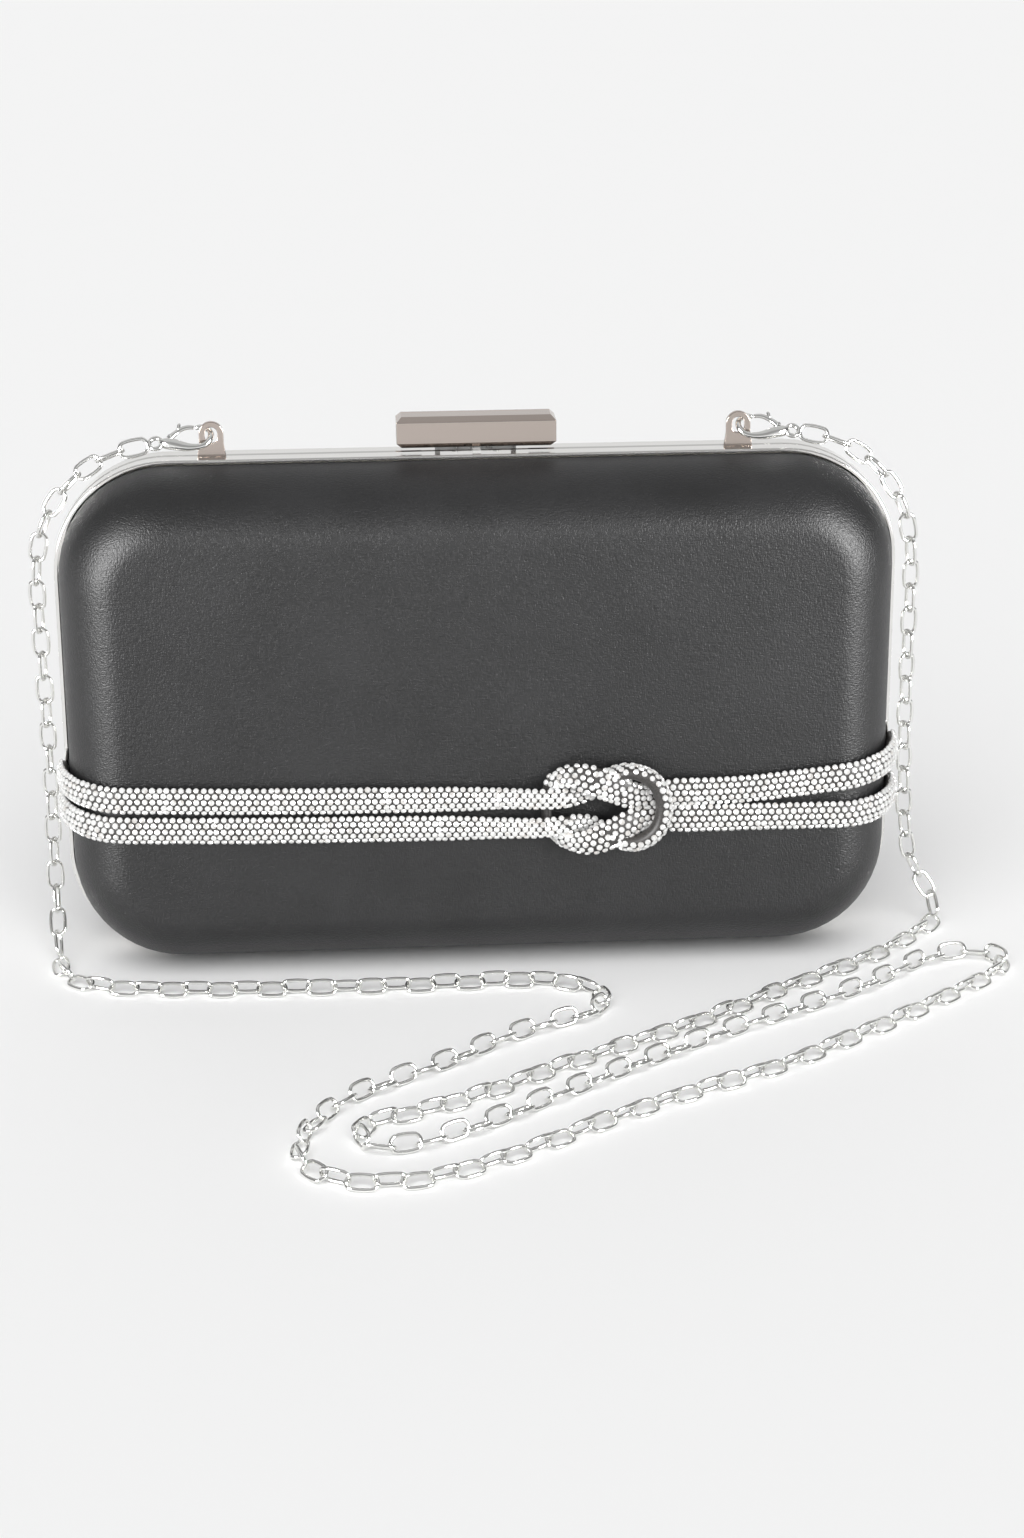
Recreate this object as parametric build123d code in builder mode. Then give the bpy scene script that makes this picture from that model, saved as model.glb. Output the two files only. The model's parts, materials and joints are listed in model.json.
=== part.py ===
"""Evening bag: a hard box clutch with two domed halves, a rim clasp, rhinestone straps and a chain.

Frame: +X to the right, -Y to the front, +Z up, millimetres. The bag stands on the bottom of its
two rims at z = 0, and x = 0 and y = 0 are the middle of its width and depth. The front half is
the one that stands still; the back half swings away from it about the bottom hinge.
"""

import os
from math import cos, pi, radians, sin, tan

from build123d import *

# Driving dimensions, in millimetres
bag_width = 205.0
bag_height = 127.0
corner_radius = 28.0
seam_y = 3.5  # where the two rims meet
seam_gap = 0.3

rim_depth = 4.8
rim_wall = 0.8
flange_width = 5.2
flange_thickness = 0.8
rim_proud = 1.2  # how far the rim stands outside the cover
seam_fillet = 0.7
face_fillet = 0.35

dome_depth = 20.0  # from the rim's face to the middle of the cover
dome_side = 15.0  # how far the cover rounds in from its side

cover_thickness = 0.6
padding_thickness = 1.4
shell_thickness = 1.5
lining_thickness = 0.5
layer_gap = 0.05

strap_height = 6.6
strap_thickness = 3.0
strap_z = 45.0
strap_spacing = 7.4  # from one strand's middle to the other's
strap_clearance = 0.1  # between the strap and the cover, and between the knot's layers
strap_setback = 0.3  # in front of the rim's face
knot_left = 13.0
knot_right = 47.0
knot_height = 21.0
knot_thickness = 3.5
knot_tail = 4.0

lug_x = 63.5
lug_width = 5.9
lug_foot_width = 6.9
lug_foot_height = 3.0
lug_top = 8.6
lug_thickness = 1.3
lug_setback = 0.5  # behind the front rim's seam edge
lug_hole_width = 3.1
lug_hole_height = 3.9
lug_hole_z = 5.3  # hole's middle above the rim

claw_tilt = 45.0  # the claw leans back about its long axis
claw_slope = 8.0  # and its far end hangs lower
claw_rod = 1.5
claw_hook_radius = 2.6
hook_tip = 3.4
claw_length = 15.5

bar_width = 38.4
bar_height = 7.6
bar_front = -4.3  # from the seam
bar_back = 3.9
bar_lift = 1.5  # above the rim
bar_chamfer = 1.25
bar_softening = 0.15
bar_wall = 1.4

pin_offset = 1.9  # clasp pin behind the seam
pin_lift = 4.2
pin_radius = 0.55
running_clearance = 0.06
ear_x = 9.2
ear_thickness = 1.2
rib_x = 11.5
rib_thickness = 2.0

hinge_x = 55.0
hinge_length = 24.0
hinge_z = 1.5
knuckle_radius = 1.45
knuckle_count = 5
knuckle_gap = 0.2
hinge_pin_radius = 0.62
leaf_thickness = 0.7
leaf_reach = 4.6
leaf_middle_z = hinge_z - 0.3
leaf_end_room = 0.5
leaf_side_room = 0.2
leaf_web = 1.4  # from the plate to its knuckles
recess_half_width = 1.8
recess_height = 3.3
recess_length = 176.0

chain_diameter = 5.0

half_gap = seam_gap / 2
rim_face = half_gap + rim_depth
flange_back = half_gap + flange_thickness
half_width = bag_width / 2
middle_z = bag_height / 2
seam_plane = Plane.XZ.offset(-seam_y)

os.makedirs("parts", exist_ok=True)


def save(builder, name):
    """Label one finished piece and write it as its own STEP file."""
    builder.part.label = name
    export_step(builder.part, f"parts/{name}.step")


def front_plane(depth):
    """The XZ plane that lies depth in front of the seam."""
    return Plane.XZ.offset(depth - seam_y)


def outline(depth, inset):
    """The bag's rounded outline, inset all round, on the plane at depth."""
    with BuildSketch(front_plane(depth)) as shape:
        with Locations((0, middle_z)):
            RectangleRounded(bag_width - 2 * inset, bag_height - 2 * inset, corner_radius - inset)
    return shape.sketch


def dome(layer, mode=Mode.ADD):
    """A collar inside the rim and the dome in front of it, layer deep under the cover's surface."""
    inset = rim_proud + layer
    side = dome_side - layer
    depth = dome_depth - layer
    extrude(outline(flange_back, inset), amount=rim_face - flange_back, mode=mode)
    sections = []
    for angle in range(0, 91, 15):
        turn = radians(angle)
        sections.append(outline(rim_face + depth * sin(turn), inset + side * (1 - cos(turn))))
    loft(sections, mode=mode)


def cut_barrel_room():
    """A channel under the seam, as long as the rims' bottom, in which the hinge barrels turn."""
    with BuildSketch(Plane.YZ.offset(-recess_length / 2)) as channel:
        with Locations((seam_y, 0)):
            Rectangle(2 * recess_half_width, 2 * recess_height)
    extrude(channel.sketch, amount=recess_length, mode=Mode.SUBTRACT)


def cut_leaf_room():
    """Room for the hinge leaves, which lie on the rim's bottom wall."""
    for x in (-hinge_x, hinge_x):
        with BuildSketch(Plane.YZ.offset(x - hinge_length / 2 - leaf_end_room)) as slot:
            with Locations((seam_y, leaf_middle_z)):
                Rectangle(2 * (leaf_reach + leaf_side_room), leaf_thickness + 0.1)
        extrude(slot.sketch, amount=hinge_length + 2 * leaf_end_room, mode=Mode.SUBTRACT)


def layer_between(outside, inside):
    """One closed layer of the front half, between two depths under the cover's surface."""
    with BuildPart() as layer:
        dome(outside)
        dome(inside, Mode.SUBTRACT)
        cut_barrel_room()
        cut_leaf_room()
    return layer


def mirrored(front):
    """The same piece for the back half."""
    with BuildPart() as back:
        mirror(front.part, about=seam_plane)
    return back


# Rims: polished wall around each half, with a flange at the seam
with BuildPart() as front_frame:
    extrude(outline(half_gap, 0), amount=rim_depth)
    fillet(front_frame.faces().sort_by(Axis.Y)[-1].edges(), seam_fillet)
    fillet(front_frame.faces().sort_by(Axis.Y)[0].edges(), face_fillet)
    extrude(outline(flange_back, rim_wall), amount=rim_depth, mode=Mode.SUBTRACT)
    extrude(outline(0, flange_width), amount=2 * rim_depth, mode=Mode.SUBTRACT)
    cut_barrel_room()
save(front_frame, "front_frame")

rivet_radius = 0.45
rivet_head_radius = 0.8
rivet_head_height = 0.3
rivet_x = 5.0
rivet_y = seam_y + pin_offset + 0.1
rivet_places = [(-rivet_x, rivet_y), (rivet_x, rivet_y)]

with BuildPart() as back_frame:
    mirror(front_frame.part, about=seam_plane)
    with BuildSketch(Plane.XY.offset(bag_height)):
        with Locations(*rivet_places):
            Circle(rivet_radius)
    extrude(amount=-2 * rim_wall, mode=Mode.SUBTRACT)
save(back_frame, "back_frame")

# The layers of each half, from the cloth outside to the lining inside
padding_start = cover_thickness + layer_gap
shell_start = padding_start + padding_thickness + layer_gap
lining_start = shell_start + shell_thickness + layer_gap

front_cover = layer_between(0, cover_thickness)
save(front_cover, "front_cover")
save(mirrored(front_cover), "back_cover")

front_padding = layer_between(padding_start, padding_start + padding_thickness)
save(front_padding, "front_padding")
save(mirrored(front_padding), "back_padding")

front_shell = layer_between(shell_start, shell_start + shell_thickness)
save(front_shell, "front_shell")
save(mirrored(front_shell), "back_shell")

front_lining = layer_between(lining_start, lining_start + lining_thickness)
save(front_lining, "front_lining")
save(mirrored(front_lining), "back_lining")


def rounding(centre, away, start, turn):
    """The cover's rounded side, seen from above, at a distance away from it."""
    return EllipticalCenterArc(centre, dome_side + away, dome_depth + away, start, arc_size=turn)


def strand(side, inner_x, z):
    """One strap strand: along the front from inner_x, round the side and back to the rim."""
    near = strap_clearance
    far = near + strap_thickness
    centre = (side * (half_width - rim_proud - dome_side), seam_y - rim_face - strap_setback)
    front_y = centre[1] - dome_depth
    start = 0 if side > 0 else 180
    with BuildSketch(Plane.XY.offset(z - strap_height / 2)) as band:
        with BuildLine():
            inner = rounding(centre, near, start, -90 * side)
            outer = rounding(centre, far, start, -90 * side)
            Line(inner @ 0, outer @ 0)
            Line(inner @ 1, (inner_x, front_y - near))
            Line((inner_x, front_y - near), (inner_x, front_y - far))
            Line((inner_x, front_y - far), outer @ 1)
        make_face()
    extrude(band.sketch, amount=strap_height)


strap_levels = [strap_z - strap_spacing / 2, strap_z + strap_spacing / 2]
knot_middle = (knot_left + knot_right) / 2
knot_layer = rim_face + dome_depth + strap_setback + strap_clearance
knot_outer_layer = knot_layer + strap_thickness + strap_clearance
strap_end_gap = 0.2

# Rhinestone straps: the left one runs under the knot, the right one makes the knot's outer bight
with BuildPart() as left_strap:
    for level in strap_levels:
        strand(-1, knot_left + 2, level)
    with BuildSketch(front_plane(knot_layer)):
        with Locations((knot_middle, strap_z)):
            SlotOverall(knot_right - knot_left, knot_height - 1)
    extrude(amount=strap_thickness)
save(left_strap, "left_strap")

with BuildPart() as right_strap:
    for level in strap_levels:
        strand(1, knot_right + strap_end_gap, level)
    with BuildSketch(front_plane(knot_outer_layer)):
        with Locations((knot_middle + knot_tail / 2, strap_z)):
            SlotOverall(knot_right - knot_left + knot_tail, knot_height)
    extrude(amount=knot_thickness)
    with BuildSketch(front_plane(knot_layer)):
        with Locations((knot_right + knot_tail / 2 + strap_end_gap, strap_z)):
            Rectangle(knot_tail, 2 * strap_height)
    extrude(amount=strap_thickness + 0.5)
save(right_strap, "right_strap")


def lug(side):
    """An arched lug on the front rim, right behind its seam edge, with a slot for the claw."""
    with BuildPart() as arch:
        with BuildSketch(front_plane(half_gap + lug_setback)):
            with BuildLine():
                half = lug_width / 2
                half_foot = lug_foot_width / 2
                shoulder = bag_height + lug_top - half
                neck = bag_height + lug_foot_height
                Polyline(
                    (side * lug_x - half, shoulder), (side * lug_x - half, neck),
                    (side * lug_x - half_foot, bag_height), (side * lug_x + half_foot, bag_height),
                    (side * lug_x + half, neck), (side * lug_x + half, shoulder),
                )
                ThreePointArc(
                    (side * lug_x - half, shoulder), (side * lug_x, bag_height + lug_top),
                    (side * lug_x + half, shoulder),
                )
            make_face()
            with Locations((side * lug_x, bag_height + lug_hole_z)):
                end_radius = lug_hole_width / 2 - 0.05
                RectangleRounded(lug_hole_width, lug_hole_height, end_radius, mode=Mode.SUBTRACT)
        extrude(amount=lug_thickness)
    return arch


def claw_plane(side):
    """Origin in the lug's slot, x along the claw to its eye, y up the back."""
    slope = radians(claw_slope)
    tilt = radians(claw_tilt)
    along = Vector(side * cos(slope), 0, -sin(slope))
    across = Vector(0, cos(tilt), sin(tilt))
    lug_y = seam_y - half_gap - lug_setback - lug_thickness / 2
    return Plane(
        origin=(side * lug_x, lug_y, bag_height + lug_hole_z), x_dir=along, z_dir=along.cross(across)
    )


eye_radius = 1.5
eye_wire = 0.55
eye_centre = claw_length - eye_radius - eye_wire
base_start = 8.9
base_end = 12.2
base_height = 3.4
base_thickness = 2.5
base_rounding = 1.2
pivot = (9.9, 0.9)
pivot_boss = 0.9
trigger_pin_radius = 0.3
gate_radius = 0.65
gate_slot = 1.6
gate_room = (3.4, 2.9)  # length and height of the slot that the gate turns in

# The gate in the claw's plane: its shank, the heel at the pivot, the thumb tab and the tip
gate_outline = [
    (3.9, 2.2), (5.6, 2.5), pivot, (10.6, 1.5), (8.4, 3.0), (7.7, 4.3), (7.0, 4.1), (7.3, 3.1),
    (5.4, 3.7), (3.9, 3.4), (3.9, 2.2),
]


def claw(side):
    """The claw's body: hook, lower arm, slotted base and the eye that the chain ends in."""
    plane = claw_plane(side)
    hook = claw_hook_radius
    with BuildPart() as body:
        with BuildLine(plane) as arm:
            Line((hook_tip, hook), (hook, hook))
            ThreePointArc((hook, hook), (0, 0), (hook, -hook))
            TangentArc((hook, -hook), (base_start + 1, -0.9), tangent=(1, 0))
        with BuildSketch(Plane(arm.line @ 0, z_dir=arm.line % 0)):
            Circle(claw_rod / 2)
        sweep(path=arm.line)
        with BuildSketch(plane.offset(-base_thickness / 2)):
            with Locations(((base_start + base_end) / 2, 0)):
                RectangleRounded(base_end - base_start, base_height, base_rounding)
        extrude(amount=base_thickness)
        with BuildSketch(plane.offset(-gate_slot / 2)):
            with Locations((pivot[0] - 0.6, 1.4)):
                Rectangle(*gate_room)
        extrude(amount=gate_slot, mode=Mode.SUBTRACT)
        with BuildSketch(plane.offset(-base_thickness)):
            with Locations(pivot):
                Circle(trigger_pin_radius + 0.01)
        extrude(amount=2 * base_thickness, mode=Mode.SUBTRACT)
        with BuildSketch(plane.offset(-eye_wire)):
            with Locations((eye_centre, 0)):
                Circle(eye_radius + eye_wire)
                Circle(eye_radius - eye_wire, mode=Mode.SUBTRACT)
        extrude(amount=2 * eye_wire)
    return body


def trigger(side):
    """The sprung gate that closes the hook, with its thumb tab."""
    plane = claw_plane(side)
    with BuildPart() as gate:
        with BuildSketch(plane.offset(-gate_radius)):
            with BuildLine():
                Polyline(*gate_outline)
            make_face()
            with Locations(pivot):
                Circle(pivot_boss)
                Circle(trigger_pin_radius + running_clearance, mode=Mode.SUBTRACT)
        extrude(amount=2 * gate_radius)
    return gate


def trigger_pin(side):
    """The pin that the trigger turns on, set in the claw's base."""
    with BuildPart() as pin:
        with BuildSketch(claw_plane(side).offset(-base_thickness / 2)):
            with Locations(pivot):
                Circle(trigger_pin_radius)
        extrude(amount=base_thickness)
    return pin


for side_name, side in (("left", -1), ("right", 1)):
    save(lug(side), f"{side_name}_chain_lug")
    save(claw(side), f"{side_name}_claw")
    save(trigger(side), f"{side_name}_trigger")
    save(trigger_pin(side), f"{side_name}_trigger_pin")

# Clasp: a hollow bar that tips back on a pin between two ears of a bracket on the back rim
pin_y = seam_y + pin_offset
pin_z = bag_height + pin_lift
bar_bottom = bag_height + bar_lift
bar_top = bar_bottom + bar_height
bar_middle_y = seam_y + (bar_front + bar_back) / 2
bar_depth = bar_back - bar_front
bar_back_wall = 1.0
bar_top_wall = 1.2
rib_drop = 1.3  # how far the pin ribs reach below the pin
rib_setback = 2.4  # behind the clasp hook
ear_notch = 2.4  # opening in the bar's back edge for the bracket's ears
ear_room = 0.5
cavity_front = seam_y + bar_front + bar_wall
cavity_back = seam_y + bar_back - bar_back_wall

with BuildPart() as clasp_bar:
    with BuildSketch(Plane.XY.offset(bar_bottom)):
        with Locations((0, bar_middle_y)):
            Rectangle(bar_width, bar_depth)
    extrude(amount=bar_height)
    chamfer(clasp_bar.edges().filter_by(Axis.Z, reverse=True), bar_chamfer)
    fillet(clasp_bar.edges(), bar_softening)
    with BuildSketch(Plane.XY.offset(bar_bottom)):
        with Locations((0, (cavity_front + cavity_back) / 2)):
            Rectangle(bar_width - 2 * bar_wall, cavity_back - cavity_front)
    extrude(amount=bar_height - bar_top_wall, mode=Mode.SUBTRACT)
    for x in (-rib_x, rib_x):
        with BuildSketch(Plane.XY.offset(pin_z - rib_drop)):
            with Locations((x, (cavity_front + cavity_back + rib_setback) / 2)):
                Rectangle(rib_thickness, cavity_back - cavity_front - rib_setback)
        extrude(amount=bar_top - bar_back_wall - pin_z + rib_drop)
    with BuildSketch(Plane.XY.offset(bar_bottom - ear_room)):
        with Locations((0, seam_y + bar_back)):
            Rectangle(2 * (rib_x + rib_thickness / 2 + ear_room), ear_notch)
    extrude(amount=pin_z - bar_bottom + 2.2, mode=Mode.SUBTRACT)
    with BuildSketch(Plane.YZ.offset(-rib_x - rib_thickness)):
        with Locations((pin_y, pin_z)):
            Circle(pin_radius + running_clearance)
    extrude(amount=2 * (rib_x + rib_thickness), mode=Mode.SUBTRACT)
save(clasp_bar, "clasp_bar")

# The hook hangs in the bar behind its front wall, and its barb rests over the tongue on the front rim
hook_width = 6.0
hook_plate = 0.8
barb_reach = 1.6
barb_root = 0.8
barb_edge = 0.5
with BuildPart() as clasp_hook:
    with BuildSketch(Plane.YZ.offset(-hook_width / 2)):
        with BuildLine():
            hook_y = cavity_front + 0.02
            hook_top = bar_top - bar_top_wall - 0.05
            hook_bottom = bar_bottom + 0.2
            Polyline(
                (hook_y, hook_top), (hook_y + hook_plate, hook_top),
                (hook_y + hook_plate, hook_bottom + barb_root),
                (hook_y + barb_reach, hook_bottom + barb_edge), (hook_y + barb_reach, hook_bottom),
                (hook_y, hook_bottom), (hook_y, hook_top),
            )
        make_face()
    extrude(amount=hook_width)
save(clasp_hook, "clasp_hook")

tongue_size = (2.0, 1.4)
tongue_y = seam_y - 3.5
tongue_chamfer = 0.4
with BuildPart() as catch_tongue:
    with BuildSketch(Plane.XY.offset(bag_height)):
        with Locations((0, tongue_y)):
            Rectangle(*tongue_size)
    extrude(amount=bar_lift - 0.35)
    chamfer(catch_tongue.faces().sort_by(Axis.Z)[-1].edges().sort_by(Axis.Y)[0], tongue_chamfer)
save(catch_tongue, "catch_tongue")

bracket_thickness = 0.5
ear_radius = 0.9
with BuildPart() as clasp_bracket:
    with BuildSketch(Plane.XY.offset(bag_height)):
        with Locations((0, pin_y)):
            Rectangle(2 * ear_x + ear_thickness, 2 * ear_radius)
        with Locations(*rivet_places):
            Circle(rivet_radius, mode=Mode.SUBTRACT)
    extrude(amount=bracket_thickness)
    for x in (-ear_x, ear_x):
        with BuildSketch(Plane.YZ.offset(x - ear_thickness / 2)):
            with Locations((pin_y, (bag_height + pin_z) / 2)):
                Rectangle(2 * ear_radius, pin_lift)
            with Locations((pin_y, pin_z)):
                Circle(ear_radius)
                Circle(pin_radius, mode=Mode.SUBTRACT)
        extrude(amount=ear_thickness)
save(clasp_bracket, "clasp_bracket")

with BuildPart() as clasp_bracket_rivets:
    with BuildSketch(Plane.XY.offset(bag_height - rim_wall)):
        with Locations(*rivet_places):
            Circle(rivet_radius)
    extrude(amount=rim_wall + bracket_thickness)
    for level in (bag_height + bracket_thickness, bag_height - rim_wall - rivet_head_height):
        with BuildSketch(Plane.XY.offset(level)):
            with Locations(*rivet_places):
                Circle(rivet_head_radius)
        extrude(amount=rivet_head_height)
save(clasp_bracket_rivets, "clasp_bracket_rivets")

pin_half_length = rib_x + rib_thickness / 2 + 0.3
with BuildPart() as clasp_pin:
    with BuildSketch(Plane.YZ.offset(-pin_half_length)):
        with Locations((pin_y, pin_z)):
            Circle(pin_radius)
    extrude(amount=2 * pin_half_length)
save(clasp_pin, "clasp_pin")

spring_radius = 0.85
spring_wire = 0.2
spring_pitch = 0.9
spring_turns = 6
with BuildPart() as clasp_spring:
    with BuildLine() as coil:
        spring_length = spring_pitch * spring_turns
        Helix(spring_pitch, spring_length, spring_radius, (-spring_length / 2, pin_y, pin_z), (1, 0, 0))
    with BuildSketch(Plane(coil.line @ 0, z_dir=coil.line % 0)):
        Circle(spring_wire)
    sweep(path=coil.line, is_frenet=True)
save(clasp_spring, "clasp_spring")


def hinge_leaves(direction, knuckles, bore):
    """Both hinges' leaves for one half: plate on the rim's bottom wall and its own knuckles."""
    pitch = hinge_length / knuckle_count
    plate_y = seam_y + direction * (recess_half_width + leaf_reach) / 2
    with BuildPart() as leaves:
        for x in (-hinge_x, hinge_x):
            hinge_start = x - hinge_length / 2
            with BuildSketch(Plane.XY.offset(leaf_middle_z - leaf_thickness / 2)):
                with Locations((x, plate_y)):
                    Rectangle(hinge_length, leaf_reach - recess_half_width)
                for index in knuckles:
                    with Locations((hinge_start + pitch * (index + 0.5), seam_y + direction * leaf_web)):
                        Rectangle(pitch - knuckle_gap, leaf_web)
            extrude(amount=leaf_thickness)
            for index in knuckles:
                with BuildSketch(Plane.YZ.offset(hinge_start + pitch * index + knuckle_gap / 2)):
                    with Locations((seam_y, hinge_z)):
                        Circle(knuckle_radius)
                extrude(amount=pitch - knuckle_gap)
        with BuildSketch(Plane.YZ.offset(-half_width)):
            with Locations((seam_y, hinge_z)):
                Circle(bore)
        extrude(amount=bag_width, mode=Mode.SUBTRACT)
    return leaves


save(hinge_leaves(-1, (0, 2, 4), hinge_pin_radius), "front_hinge_leaves")
save(hinge_leaves(1, (1, 3), hinge_pin_radius + running_clearance), "back_hinge_leaves")

with BuildPart() as hinge_pins:
    for x in (-hinge_x, hinge_x):
        with BuildSketch(Plane.YZ.offset(x - hinge_length / 2)):
            with Locations((seam_y, hinge_z)):
                Circle(hinge_pin_radius)
        extrude(amount=hinge_length)
save(hinge_pins, "hinge_pins")

# Chain: from the left claw's eye over the corner, down, along the floor in loops, up to the right
chain_start = claw_plane(-1).from_local_coords((claw_length + 0.3, 0, 0))
chain_end = claw_plane(1).from_local_coords((claw_length + 0.3, 0, 0))
chain_between = [
    (-85.6, 2.2, 129.2), (-95.8, 2.3, 123.9), (-103.8, 2.5, 114.2), (-107.3, 2.7, 103.0),
    (-107.1, 2.9, 85.0), (-106.5, 2.4, 53.0), (-106.9, 1.6, 24.0), (-106.6, -1.0, 10.0),
    (-106.2, -8.0, 3.6), (-105.0, -16.5, 2.5), (-100.0, -23.8, 2.5), (-90.5, -27.6, 2.5),
    (-75.0, -29.6, 2.5), (-56.0, -30.8, 2.5), (-36.0, -31.2, 2.5), (-16.0, -31.0, 2.5),
    (1.0, -30.0, 2.5), (13.0, -30.2, 2.5), (22.0, -33.2, 2.5), (27.8, -39.5, 2.5),
    (27.5, -47.0, 2.5), (20.5, -52.2, 2.5), (10.0, -57.5, 2.5), (-1.0, -65.5, 2.5),
    (-12.5, -75.5, 2.5), (-24.5, -83.8, 2.5), (-34.0, -91.0, 2.5), (-41.5, -101.0, 2.5),
    (-46.0, -112.0, 2.5), (-46.2, -122.5, 2.5), (-40.5, -130.5, 2.5), (-31.0, -133.6, 2.5),
    (-20.0, -132.8, 2.5), (-8.0, -127.4, 2.5), (5.0, -119.5, 2.5), (19.0, -109.6, 2.5),
    (36.0, -98.0, 2.5), (56.0, -88.0, 2.5), (76.0, -74.8, 2.5), (95.0, -60.2, 2.5),
    (111.0, -46.4, 2.5), (122.5, -37.0, 2.5), (129.2, -29.5, 2.5), (128.0, -22.8, 2.5),
    (120.0, -20.2, 2.5), (110.5, -23.0, 2.5), (101.0, -31.6, 2.5), (88.0, -42.8, 2.5),
    (69.0, -54.2, 2.5), (49.0, -66.8, 2.5), (29.0, -81.0, 2.5), (12.0, -94.2, 2.5),
    (-2.0, -105.0, 2.5), (-14.0, -113.0, 2.5), (-24.0, -117.4, 2.5), (-31.5, -116.4, 2.5),
    (-34.0, -110.2, 2.5), (-30.5, -104.2, 2.5), (-22.5, -101.2, 2.5), (-12.0, -97.0, 2.5),
    (1.0, -88.6, 2.5), (18.0, -76.4, 2.5), (38.0, -64.6, 2.5), (58.5, -50.4, 2.5),
    (75.5, -36.4, 2.5), (90.0, -27.2, 2.5), (101.0, -18.0, 2.5), (109.5, -8.4, 2.5),
    (116.5, -1.8, 2.5), (117.4, 3.6, 5.6), (113.2, 5.0, 11.2), (109.2, 4.4, 20.0),
    (107.9, 3.8, 36.0), (107.3, 3.3, 64.0), (107.5, 3.0, 89.0), (107.2, 2.7, 103.0),
    (103.8, 2.5, 114.2), (95.8, 2.3, 123.9), (85.6, 2.2, 129.2),
]
chain_route = [chain_start] + [Vector(*point) for point in chain_between] + [chain_end]


def bend_radii(route):
    """The largest arc that each corner's two runs allow."""
    radii = []
    for before, here, after in zip(route, route[1:], route[2:]):
        run_in = here - before
        run_out = after - here
        turn = radians(run_in.get_angle(run_out))
        radii.append(0.45 * min(run_in.length, run_out.length) / tan(turn / 2))
    return radii


chain_radii = bend_radii(chain_route)
print("chain bend radii:", " ".join(f"{radius:.0f}" for radius in chain_radii))

with BuildPart() as chain:
    with BuildLine() as chain_path:
        FilletPolyline(*chain_route, radius=chain_radii)
    with BuildSketch(Plane(chain_path.line @ 0, z_dir=chain_path.line % 0)):
        Circle(chain_diameter / 2)
    sweep(path=chain_path.line)
save(chain, "chain")

chain_length = chain_path.wires()[0].length
chain_section = pi * chain_diameter**2 / 4
print(f"chain length {chain_length:.0f} mm")
print(f"chain volume over section times length {chain.part.volume / chain_section / chain_length:.4f}")
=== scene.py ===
"""Looks of the evening bag: satin covers, stone-covered straps with a flat knot, link chain and clasp.

Shapes are worked out in millimetres and made in metres, like the camera and the lights, in the frame of
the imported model: +X to the right, -Y to the front, +Z up.
"""

import json
import math
import random
from collections import namedtuple

import bpy
import numpy as np
from mathutils import Matrix, Vector


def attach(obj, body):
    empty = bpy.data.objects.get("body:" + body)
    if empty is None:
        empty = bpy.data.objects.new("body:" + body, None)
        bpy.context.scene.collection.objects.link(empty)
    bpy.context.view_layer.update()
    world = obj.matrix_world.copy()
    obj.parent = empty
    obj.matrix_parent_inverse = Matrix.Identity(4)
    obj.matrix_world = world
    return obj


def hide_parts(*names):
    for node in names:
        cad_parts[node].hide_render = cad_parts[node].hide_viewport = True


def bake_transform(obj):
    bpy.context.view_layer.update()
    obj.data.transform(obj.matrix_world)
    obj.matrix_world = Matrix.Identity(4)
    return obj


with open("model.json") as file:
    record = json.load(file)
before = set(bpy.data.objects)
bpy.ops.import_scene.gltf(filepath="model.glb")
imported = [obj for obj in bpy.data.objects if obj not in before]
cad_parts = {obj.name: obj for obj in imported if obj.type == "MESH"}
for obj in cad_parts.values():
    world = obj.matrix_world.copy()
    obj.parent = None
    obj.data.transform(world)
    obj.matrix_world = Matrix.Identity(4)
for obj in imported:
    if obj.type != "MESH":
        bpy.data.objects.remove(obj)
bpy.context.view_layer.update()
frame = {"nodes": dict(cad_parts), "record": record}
random.seed(11)

MM = 0.001

# The bag's driving sizes, in millimetres, as in the CAD source
BAG_WIDTH = 205.0
BAG_HEIGHT = 127.0
CORNER_RADIUS = 28.0
SEAM_Y = 3.5
RIM_FACE = 4.95
RIM_PROUD = 1.2
DOME_DEPTH = 20.0
DOME_SIDE = 15.0
HALF_WIDTH = BAG_WIDTH / 2
MIDDLE_Z = BAG_HEIGHT / 2
CROWN = 1.8  # how far the cloth stands proud of the CAD cover in the middle of each half


# ---------------------------------------------------------------- camera, floor and light


def make_camera():
    """The camera that matches the photograph's viewing angle."""
    pitch = math.radians(20.0)
    yaw = math.radians(3.53)
    roll = math.radians(-0.34)
    forward = Vector((
        math.sin(yaw) * math.cos(pitch),
        math.cos(yaw) * math.cos(pitch),
        -math.sin(pitch),
    ))
    level = Vector((math.cos(yaw), -math.sin(yaw), 0.0))
    right = level * math.cos(roll) + level.cross(forward) * math.sin(roll)
    up = right.cross(forward)
    data = bpy.data.cameras.new("camera")
    data.lens = 70.22
    data.sensor_width = 36.0
    data.clip_start = 0.01
    data.clip_end = 50.0
    camera = bpy.data.objects.new("camera", data)
    rotation = Matrix((right, up, -forward)).transposed()
    place = Matrix.Translation((-0.0353, -0.7034, 0.3024))
    camera.matrix_world = place @ rotation.to_4x4()
    bpy.context.scene.collection.objects.link(camera)
    bpy.context.scene.camera = camera


# Studio brightness, as places and levels: along |X|, along Z, and along Y from 0 in front to 1 behind
SIDE_WALLS = [(0.50, 1.0), (0.72, 0.45), (0.92, 0.20)]
OVERHEAD = [(0.25, 1.0), (0.60, 0.80), (0.90, 0.72)]
FRONT_TO_BACK = [(0.15, 0.50), (0.38, 1.0)]
WORLD_STRENGTH = 0.80


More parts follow.
